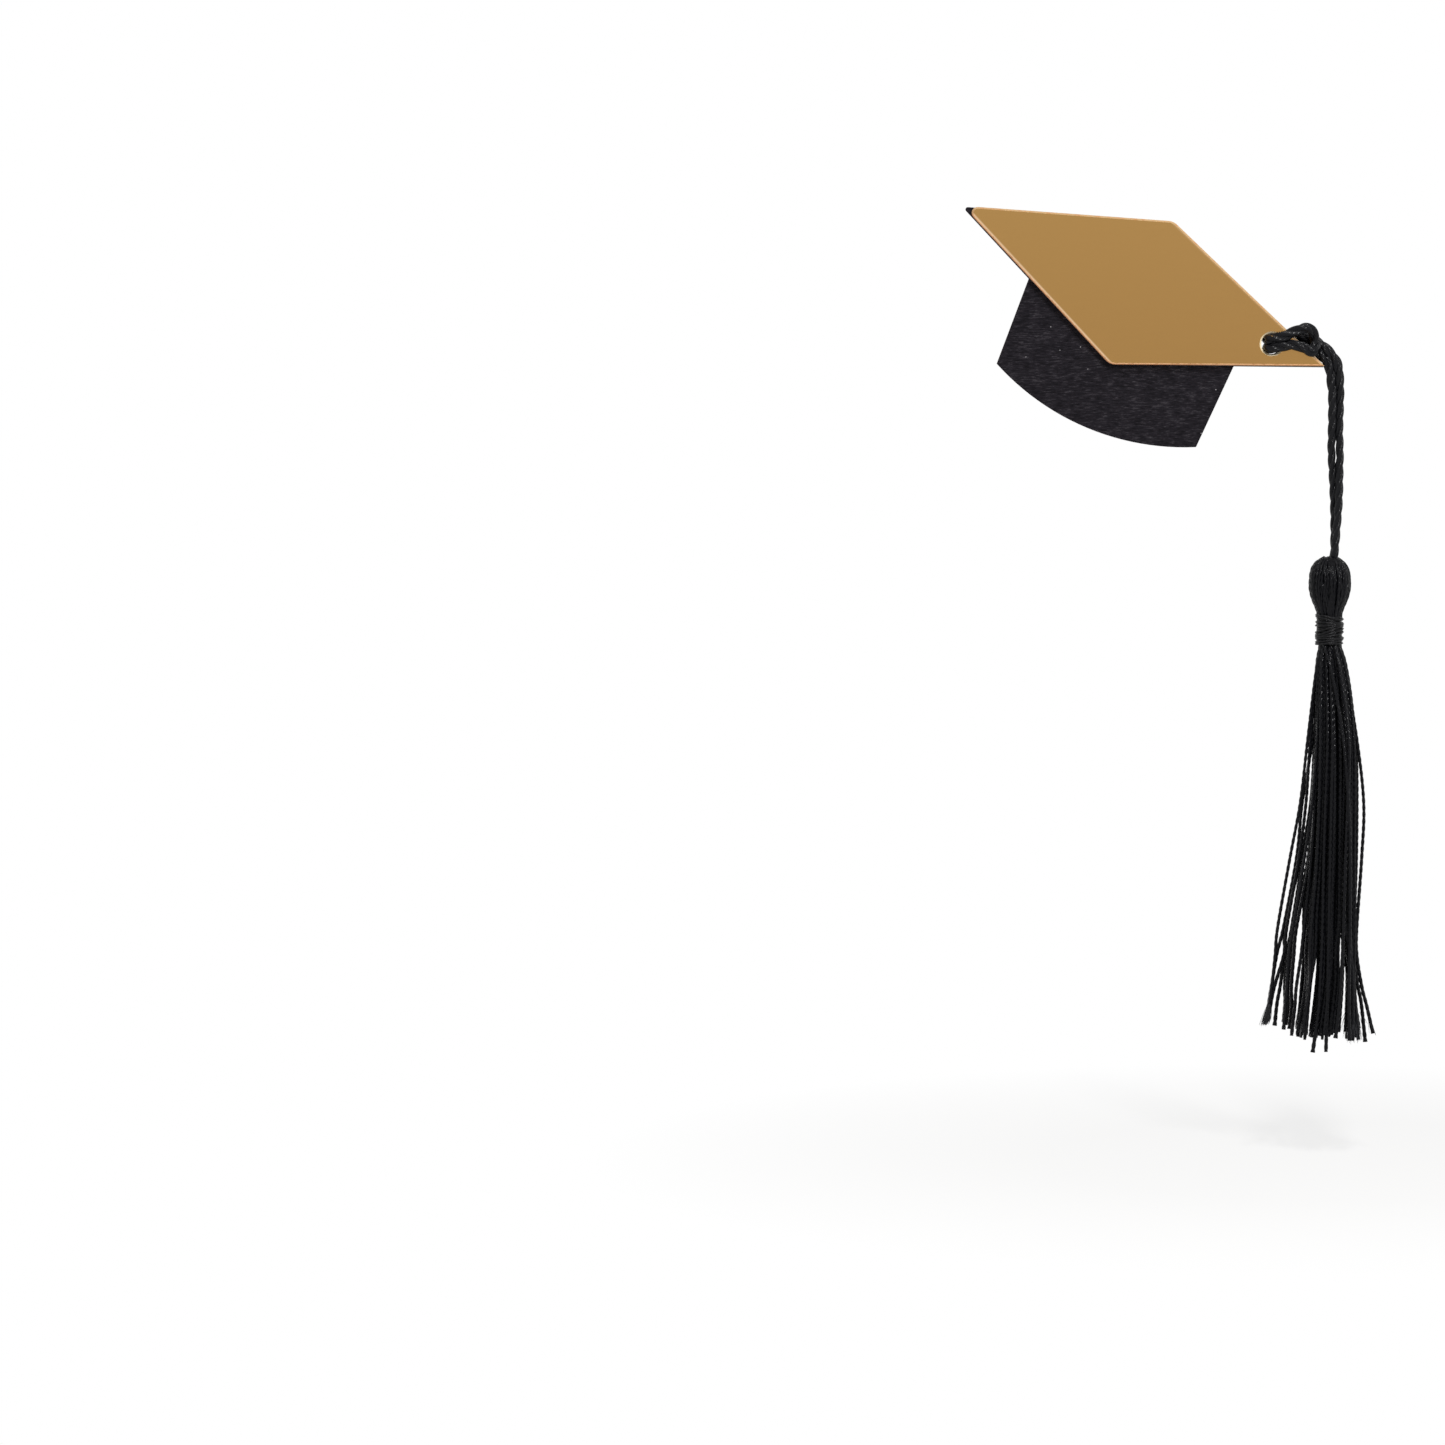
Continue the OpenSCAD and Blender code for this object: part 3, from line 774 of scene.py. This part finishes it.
# outer radius by depth below the top: a round dome, the belly over the knot, a slow taper to the neck
HEAD_OUTLINE = {
    0.0: 1.2, 0.5: 2.1, 1.1: 2.95, 1.9: 3.65, 2.5: 3.95, 3.3: 4.25, 4.6: 4.42, 6.3: 4.5,
    7.9: 4.25, 9.5: 3.75, 10.9: 3.15, 12.1: 2.7, 13.0: 2.6,
}


def head_radius(depth):
    """Outer radius of the head at a depth below its top."""
    return np.interp(depth, list(HEAD_OUTLINE), list(HEAD_OUTLINE.values()))


def on_axis(radius, angle, depth):
    """A place round the tassel's axis, at a depth below the top of its head."""
    return [axis[0] + radius * math.cos(angle), axis[1] + radius * math.sin(angle), head_top - depth]


print(f"head: radius {max(HEAD_OUTLINE.values())} mm, top at z {head_top:.2f} mm")

# %% Folded threads of the head
tassel_rayon = black_rayon(
    "black_rayon_tassel_thread", "#07070A", "#0F0F12", shine=0.12, gleam=0.11, ridge=0.015
)
HEAD_LAYERS = [(34, 1.0, 0.6), (58, 1.25, 0.3)]  # threads, radius of the fold, depth under the outline
HEAD_DEPTHS = [0.9, 2.0, 3.4, 5.0, 6.6, 8.2, 9.4, 10.6, 11.7, 12.8, 13.8]
SQUEEZED = 0.86  # the head holds its threads tight, so they are thinner there
HAIRPIN = [(0.6, 2.6, 0), (0.75, 0.9, 1), (1.0, 0.4, 1)]  # share of the fold, depth, share of the lift
LEGS_DEEP = 0.6  # the cord's two legs stand one behind the other and push the fold open
# how the threads differ: slant and sway in degrees, radius, height and fold in mm
SLANT, SWAY = 11, 2.2
SWELL, LIFT, FOLD_CHANGE = (-0.16, 0.14), (-0.25, 0.2), (-0.3, 0.3)
UNEVEN_PLACE = (-0.25, 0.25)  # in thread spacings
UNEVEN_HEAD = (0.9, 1.1)  # in thread thicknesses


def folded_thread(angle, fold, sunk, draw):
    """Line of one thread: up beside the cord, over in a hairpin, down the head into the winding."""
    slant = math.radians(draw.normal(0, SLANT))
    sway = math.radians(draw.normal(0, SWAY))
    swell = draw.uniform(*SWELL)
    lift = draw.uniform(*LIFT)
    fold += LEGS_DEEP * abs(math.sin(angle))
    points = [on_axis(fold * near, angle, depth - lift * lifted) for near, depth, lifted in HAIRPIN]
    for depth in HEAD_DEPTHS:
        turned = angle + slant * (depth / HEAD_HEIGHT) + sway * math.sin(depth)
        points.append(on_axis(head_radius(depth) - sunk + swell, turned, depth))
    return smooth_line(points, step=0.4)


draw = np.random.default_rng(11)
head_shapes = []
for count, fold, sunk in HEAD_LAYERS:
    for number in range(count):
        angle = 2 * math.pi * (number + draw.uniform(*UNEVEN_PLACE)) / count
        line = folded_thread(angle, fold + draw.uniform(*FOLD_CHANGE), sunk, draw)
        rings, run = wind_plies(
            line, SQUEEZED * THREAD * draw.uniform(*UNEVEN_HEAD), plies=2, lay=THREAD_LAY, sides=7,
            first_turn=draw.uniform(0, 2 * math.pi),
        )
        head_shapes += [tube_shape(ply, run) for ply in rings]
print(f"head: {len(head_shapes)} plies")

# %% The head's core
CORE_SUNK = 0.75
CORE_SIDES = 32
CORE_RINGS = 32
CORE_TOP = 1.4  # below the top of the head
CORE_FOOT = 0.6  # above the foot of the winding
core_depths = np.linspace(CORE_TOP, head_top - neck_low[2] - CORE_FOOT, CORE_RINGS)
core_angles = 2 * math.pi * np.arange(CORE_SIDES) / CORE_SIDES
core_rings = np.array([
    [on_axis(head_radius(depth) - CORE_SUNK, -angle, depth) for angle in core_angles]
    for depth in core_depths
])
head_shapes.append(tube_shape(core_rings, core_depths))
tassel_head = make_piece("folded_head", head_shapes, tassel_rayon)
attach(tassel_head, "tassel")
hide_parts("tassel_head")

# %% [markdown]
# The neck is bound by hand with one thin thread: tightly down to the bottom, then back up over itself
# and tucked in. Going down and coming up, the turns slope in opposite ways, so they cross. A stack of
# rings would look turned on a lathe, so one single line makes all the turns, with a little wander in
# height and radius from turn to turn.

# %% The winding round the neck
WINDING_THREAD = 0.5
WINDING_LAY = 2.2
TURNS_DOWN = 12
TURNS_UP = 11
INNER_COIL = 2.55
OUTER_COIL = 2.84
POINTS_PER_TURN = 20
FIRST_ANGLE = 1.1  # where the thread starts, in radians
NEAT = 0.15  # the turns going down lie side by side, with only this share of the wander and tilt
WANDER = 0.2  # scatter of a turn's height, mm
BULGE = (-0.04, 0.08)  # change of its radius
TILT = (0.25, 0.5)  # mean and scatter of its slope
RIDES_UP = 0.15  # how far a turn may ride over the top
winding_rayon = black_rayon(
    "black_rayon_binding_thread", "#060608", "#0E0E10", shine=0.28, gleam=0.19, ridge=0.02
)
draw = np.random.default_rng(23)
turns = np.arange((TURNS_DOWN + TURNS_UP) * POINTS_PER_TURN + 1) / POINTS_PER_TURN
knots = np.arange(TURNS_DOWN + TURNS_UP + 2)
loose = np.clip((turns - TURNS_DOWN + 1) / 2, NEAT, 1)
wander = loose * np.interp(turns, knots, draw.normal(0, WANDER, len(knots)))
bulge = np.interp(turns, knots, draw.uniform(*BULGE, len(knots)))
tilt = loose * np.interp(turns, knots, draw.normal(*TILT, len(knots)))
going_down = np.clip(turns / TURNS_DOWN, 0, 1)
going_up = np.clip((turns - TURNS_DOWN) / TURNS_UP, 0, 1)
share = going_down - going_up
radius = INNER_COIL + (OUTER_COIL - INNER_COIL) * np.clip((turns - TURNS_DOWN + 0.5) * 2, 0, 1) + bulge
top, bottom = neck_high[2] - WINDING_THREAD / 2, neck_low[2] + WINDING_THREAD / 2
turned = 2 * math.pi * turns + FIRST_ANGLE
height = top - (top - bottom) * share + wander + tilt * np.cos(turned)
height = np.clip(height, bottom, top + RIDES_UP)
winding_line = np.stack(
    [axis[0] + radius * np.cos(turned), axis[1] + radius * np.sin(turned), height], -1
)
winding_rings, winding_run = wind_plies(
    smooth_line(winding_line, step=0.45), WINDING_THREAD, plies=2, lay=WINDING_LAY, sides=6
)
winding_shapes = [tube_shape(ply, winding_run) for ply in winding_rings]
winding = make_piece("neck_winding", winding_shapes, winding_rayon)
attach(winding, "tassel")
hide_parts("neck_wrap")

# %% [markdown]
# Below the winding the same threads hang free as the skirt. Most fall in one loose bundle, and a few
# strays at the sides have taken a set of their own. A hair system would be quick, but a thread is thick
# enough to show its twist and its cut end, so each is two wound plies again. The strays are placed
# one by one, the bundle is spread by a formula, and slits where threads have clung together part it.

# %% Where the threads of the skirt hang
START_ABOVE = 5.5  # how far inside the winding a thread starts
CUT = 84.2  # from the winding to the cut
CUT_SCATTER = 0.55
SKIRT_LEAN = 0.65  # the skirt hangs this far to the right of its head
LEANS_OVER = 20  # the lean grows over this length below the winding
# inside the winding: shares of a clump's first middle and width, and its half depth
DRAWN_IN, NARROWED, NECK_DEPTH = 0.55, 0.8, 1.8
LOOSE, LOOSE_BELOW = 0.16, 30  # scatter of a thread in its clump, and the drop at which it is full
INSIDE_SHARE = 0.9  # a stray lies a little nearer to the axis inside the winding
STRAY_DEPTHS = (0.07, 0.2, 0.42)  # shares of its depth inside, at the foot and where it fans out
FAN_DROP, FAN_SHARE = 5.5, 0.38  # there it has gone this share of the way to its first place
FANNED = 0.6  # below that its depth grows from this share to the whole at the cut
GOLDEN_ANGLE = math.radians(137.5)
neck_bottom = neck_low[2]

# clumps of threads: for each level below the winding, the clump's sideways middle and half width
LEVELS = (0, 4, 12, 25, 45, 58, 66, 73, 84)
HALF_DEPTH = (2.0, 3.0, 4.5, 5.6, 6.5, 7.1, 7.5, 7.9, 8.8)
CLUMPS = {
    "left": (20, (-1.2, -1.7, -2.3, -2.55, -3.25, -4.2, -4.5, -5.0, -6.2),
             (1.2, 1.5, 1.6, 1.4, 1.7, 1.75, 1.7, 1.15, 1.25)),
    "middle": (42, (0.1, 0.2, 0.2, 0.2, 0.0, -0.2, -0.4, -0.65, -1.7),
               (1.8, 2.3, 2.8, 3.1, 3.3, 3.2, 2.8, 2.7, 3.2)),
    "right": (22, (1.4, 2.2, 3.2, 3.8, 3.9, 4.0, 4.3, 4.5, 4.9),
              (1.3, 1.6, 1.8, 1.9, 2.0, 2.0, 1.5, 1.05, 1.9)),
}
# strays: sideways place at each of these drops and at the cut, depth at the cut, length
STRAY_DROPS = (0, 20, 34, 46, 61, 67, 74, 78)
STRAYS = [
    (-1.7, -5.25, -6.8, -8.95, -11.5, -12.0, -12.7, -13.3, -14.2, -2.4, 82.0),
    (-1.7, -4.0, -6.15, -7.3, -9.95, -11.4, -12.5, -13.1, -13.7, 1.2, 82.2),
    (-1.7, -4.6, -5.45, -6.9, -9.4, -10.0, -12.0, -12.8, -13.3, -0.6, 81.6),
    (-1.6, -3.5, -4.2, -6.2, -9.45, -9.65, -10.45, -11.15, -11.65, 3.4, 83.0),
    (-1.6, -3.3, -4.3, -5.95, -8.3, -9.2, -9.6, -9.85, -10.2, -4.2, 82.9),
    (-1.5, -3.2, -4.1, -5.7, -7.9, -8.9, -9.4, -9.3, -9.6, 5.0, 82.4),
    (-1.5, -3.1, -4.0, -4.75, -7.6, -8.15, -8.85, -8.75, -9.3, 2.0, 82.7),
    (-1.4, -3.0, -3.9, -4.6, -7.35, -7.9, -8.4, -8.3, -8.8, -1.4, 83.1),
    (-1.4, -2.9, -3.7, -4.4, -5.9, -6.5, -7.5, -7.75, -8.45, -3.6, 84.3),
    (0.9, 1.5, 2.0, 2.3, 2.5, 2.65, 2.45, 2.2, 1.8, -2.0, 83.7),
    (1.8, 4.6, 5.2, 5.5, 5.3, 5.3, 6.2, 7.0, 7.95, 2.6, 86.4),
    (1.9, 5.3, 6.9, 6.55, 5.6, 5.65, 6.8, 7.85, 9.25, -1.8, 84.0),
    (-0.7, -1.2, -1.6, -1.9, -2.1, -2.3, -2.6, -2.8, -4.1, -7.0, 87.5),
    (-0.1, -0.2, -0.4, -0.6, -0.8, -0.9, -1.0, -1.1, -1.3, -7.6, 87.3),
    (-1.1, 2.05, 3.2, 3.6, 3.6, 3.5, 3.4, 3.4, 3.6, -9.7, 84.6),
    (1.1, 3.2, 3.0, 2.6, 2.2, 2.0, 1.6, 1.3, 0.6, -9.5, 84.1),
]

print("skirt: threads in clumps", [clump[0] for clump in CLUMPS.values()], "and strays", len(STRAYS))

# %% Lines of the skirt's threads
def below_neck(x, y, drop):
    """A place measured from the leaning axis of the skirt and from the winding's bottom."""
    lean = SKIRT_LEAN * np.clip(drop / LEANS_OVER, 0, 1)
    return [axis[0] + x + lean, axis[1] + y, neck_bottom - drop]


def clump_thread(clump, number, draw):
    """Line of one thread of a clump, from inside the winding to its cut end."""
    count, middles, halves = clump
    ring = math.sqrt((number + 0.5) / count)
    across = ring * math.cos(number * GOLDEN_ANGLE)
    deep = ring * math.sin(number * GOLDEN_ANGLE)
    x = DRAWN_IN * middles[0] + across * halves[0] * NARROWED
    points = [below_neck(x, deep * NECK_DEPTH, -START_ABOVE)]
    length = CUT + draw.normal(0, CUT_SCATTER)
    for drop, middle, half, depth in zip(LEVELS, middles, halves, HALF_DEPTH):
        drop = drop if drop < LEVELS[-1] else length
        loose = LOOSE * min(drop / LOOSE_BELOW, 1)
        x = middle + across * (half - THREAD / 2) + draw.normal(0, loose)
        points.append(below_neck(x, deep * (depth - THREAD / 2) + draw.normal(0, loose), drop))
    return points


def stray_thread(stray):
    """Line of one thread that hangs away from the clumps."""
    start, *places, cut, depth, length = stray
    inside, foot, below = [share * depth for share in STRAY_DEPTHS]
    points = [
        below_neck(start * INSIDE_SHARE, inside, -START_ABOVE),
        below_neck(start, foot, 0),
        below_neck(start + FAN_SHARE * (places[0] - start), below, FAN_DROP),
    ]
    for place, drop in zip(places, STRAY_DROPS[1:]):
        points.append(below_neck(place, depth * (FANNED + (1 - FANNED) * drop / length), drop))
    return points + [below_neck(cut, depth, length)]


draw = np.random.default_rng(37)
clump_lines = {
    name: [clump_thread(clump, number, draw) for number in range(clump[0])]
    for name, clump in CLUMPS.items()
}
stray_lines = [stray_thread(stray) for stray in STRAYS]
print("skirt lines:", sum(len(lines) for lines in clump_lines.values()) + len(stray_lines))

# %% Threads of the skirt
INNER_SHARE = 0.45  # the first threads of a clump lie inside it, and may be coarser
SKIRT_STEPS = {"inner_strands": 0.8, "outer_strands": 0.55, "stray_strands": 0.5}  # ring spacing
# how much thicker a thread grows towards the cut, and over which length
LOOSENED = {"inner_strands": 0.0, "outer_strands": 0.08, "stray_strands": 0.25}
LOOSENS_OVER = 50
FLATTENED, FLATTENS_OVER = 0.45, 45  # the twist relaxes, so the plies lie flatter towards the cut
OPENED, OPENS_OVER = 0.9, 3  # and at the very end they may stand apart
UNEVEN_SKIRT = (0.92, 1.08)  # in thread thicknesses


def near_cut(left, reach):
    """How near the cut is, from 0 where a whole reach is left to 1 at the cut."""
    return np.clip(1 - left / reach, 0, 1)


skirt_groups = {"inner_strands": [], "outer_strands": [], "stray_strands": stray_lines}
for lines in clump_lines.values():
    first_outer = round(len(lines) * INNER_SHARE)
    skirt_groups["inner_strands"] += lines[:first_outer]
    skirt_groups["outer_strands"] += lines[first_outer:]
skirt = {}
for name, lines in skirt_groups.items():
    shapes = []
    for points in lines:
        line = smooth_line(points, SKIRT_STEPS[name])
        left = run_along(line)[-1] - run_along(line)
        flat = 1 - FLATTENED * near_cut(left, FLATTENS_OVER)
        opened = flat + draw.uniform(0.0, OPENED) * near_cut(left, OPENS_OVER)
        grown = 1 + LOOSENED[name] * near_cut(left, LOOSENS_OVER)
        rings, run = wind_plies(
            line, THREAD * draw.uniform(*UNEVEN_SKIRT) * grown, plies=2, lay=THREAD_LAY, sides=6,
            first_turn=draw.uniform(0, 2 * math.pi), spread=opened,
        )
        shapes += [tube_shape(ply, run) for ply in rings]
    skirt[name] = make_piece(name, shapes, tassel_rayon)
    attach(skirt[name], "tassel")
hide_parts("tassel_skirt")

# %% [markdown]
# A few cut ends have come undone. The far left thread has opened into a small brush, and a tuft of
# loose fibres sits at the right of the hem. The loose fibres are the same black rayon, with their sheen
# painted in as a paler colour. A hair system could do it, but these are only a few bundles of
# filaments, thinner than a thread, so each is one slim tapering tube with three sides, fanned out from
# the thread it belongs to.

# %% Frayed ends
FIBRE = 0.11  # a clump of filaments; single ones would be far too fine to see
FIBRE_SIDES = 3
FIBRE_TIP = 0.45  # share of its thickness that is left at the tip
BRUSH_SCATTER = np.array([1, 1, 0.3])  # fibres spread more to the sides than up and down
BRUSH_WIDTH = 0.45
START_SHARE, BOW_SHARE, TIP_SHARE = 0.35, 0.1, 1.8  # of that width, from the start to the tip
# brushes: the thread, fibres, fan at the tip, length, unevenness of the cut
BRUSHES = [
    (stray_lines[0], 75, 0.62, 4.5, 0.25),
    (stray_lines[1], 24, 0.35, 3.0, 0.3),
    (stray_lines[2], 24, 0.35, 3.0, 0.3),
    (stray_lines[11], 8, 0.6, 3.0, 0.65),
]
BRUSHES += [(line, 12, 0.7, 3.5, 0.65) for line in clump_lines["right"][9:]]
fibre_shapes = []
for thread, count, fan, length, uneven in BRUSHES:
    end = np.array(thread[-1])
    before = np.array(thread[-2])
    down = (end - before) / np.linalg.norm(end - before)
    for _ in range(count):
        away = draw.normal(0, BRUSH_WIDTH, 3) * BRUSH_SCATTER
        start = end - down * length + away * START_SHARE
        tip = end + down * draw.uniform(-uneven, uneven) + away * fan * TIP_SHARE
        middle = (start + tip) / 2 + away * BOW_SHARE
        line = smooth_line([start, middle, tip], step=0.6)
        taper = FIBRE * np.linspace(1.0, FIBRE_TIP, len(line))
        spokes = ring_spokes(*side_directions(line), FIBRE_SIDES)
        rings = line[:, None] + taper[:, None, None] / 2 * spokes
        fibre_shapes.append(tube_shape(rings, run_along(line)))
# painted sheen: the loose fibres are black rayon, drawn paler to stand in for the light they scatter
fibre_rayon_painted_sheen = black_rayon(
    "loose_black_rayon_fibre", "#0E0E10", "#2C2C30", shine=0.42, gleam=0.2, ridge=0.01
)
fibres = make_piece("frayed_fibres", fibre_shapes, fibre_rayon_painted_sheen)
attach(fibres, "tassel")

# %% [markdown]
# The stage is a pale floor under a white room. The floor keeps the cap's soft shadow near the middle
# and turns pure white further out, so that no horizon shows. Seen directly or in the gold mirror, the
# room is white too, while the light that it sends onto the cap is lower: two soft lamps give the rest,
# so that the yarn gets its narrow highlights and a colour still looks as it is written.

# %% Floor
FLOOR_HEIGHT = -189.0
FLOOR_RADIUS = 2500.0
SHADOW_NEAR, SHADOW_FAR = 60.0, 160.0  # between these distances the floor turns white
NEAR_WHITE = 0.75  # share of plain white that it has near the cap
FLOOR_CORNERS = 64


def seen_directly(tree):
    """1 for rays from the camera, from gloss or through glass, otherwise 0."""
    path = add_node(tree, "LightPath")
    gloss = add_node(
        tree, "Math", {"operation": "MAXIMUM"},
        {0: path.outputs["Is Camera Ray"], 1: path.outputs["Is Glossy Ray"]},
    )
    glass = add_node(
        tree, "Math", {"operation": "MAXIMUM"}, {0: gloss, 1: path.outputs["Is Transmission Ray"]}
    )
    return glass


def floor_paint():
    """Matt pale paint near the cap, white further away."""
    material, tree, place = new_material("matt_pale_floor_paint")
    distance = add_node(tree, "VectorMath", {"operation": "LENGTH"}, {0: place["Object"]})
    white = add_node(
        tree, "MapRange",
        {"From Min": SHADOW_NEAR * MM, "From Max": SHADOW_FAR * MM, "To Min": NEAR_WHITE},
        {"Value": distance},
    )
    share = add_node(tree, "Math", {"operation": "MULTIPLY"}, {0: white, 1: seen_directly(tree)})
    paint = add_node(tree, "BsdfDiffuse", {"Color": linear("#F6F5F3")})
    glow = add_node(tree, "Emission", {"Strength": 1.0})
    both = add_node(tree, "MixShader", None, {0: share, 1: paint, 2: glow})
    add_node(tree, "OutputMaterial", None, {"Surface": both})
    return material


floor_mesh = bpy.data.meshes.new("floor")
floor_shape = bmesh.new()
bmesh.ops.create_circle(floor_shape, cap_ends=True, segments=FLOOR_CORNERS, radius=FLOOR_RADIUS * MM)
floor_shape.to_mesh(floor_mesh)
floor_shape.free()
floor_mesh.materials.append(floor_paint())
floor = add_object("floor", floor_mesh)
floor.location = Vector((axis[0], axis[1], FLOOR_HEIGHT)) * MM
print(f"floor at z {FLOOR_HEIGHT} mm")

# %% Room and lamps
ROOM_LIGHT = 0.29  # what the white room sends onto the cap
LAMPS = [
    # name, place and target in mm, side of the square lamp in mm, watts
    ("key_lamp", (60, -640, 600), (30, 0, -60), 110, 4.8),
    ("front_lamp", (330, -820, 300), (30, 0, -60), 100, 3.7),
]
world = bpy.data.worlds.new("white_room")
bpy.context.scene.world = world
room_tree = new_tree(world)
strength = add_node(
    room_tree, "Math", {"operation": "MULTIPLY_ADD", 1: 1 - ROOM_LIGHT, 2: ROOM_LIGHT},
    {0: seen_directly(room_tree)},
)
room = add_node(room_tree, "Background", {"Color": linear("#FFFFFF")}, {"Strength": strength})
add_node(room_tree, "OutputWorld", None, {"Surface": room})
for name, place, target, side, watts in LAMPS:
    lamp_data = bpy.data.lights.new(name, "AREA")
    lamp_data.size = side * MM
    lamp_data.energy = watts
    lamp = add_object(name, lamp_data)
    lamp.location = Vector(place) * MM
    lamp.rotation_euler = (Vector(target) - Vector(place)).to_track_quat("-Z", "Y").to_euler()
bpy.context.scene.view_settings.view_transform = "Standard"
print("lamps:", [lamp[0] for lamp in LAMPS])
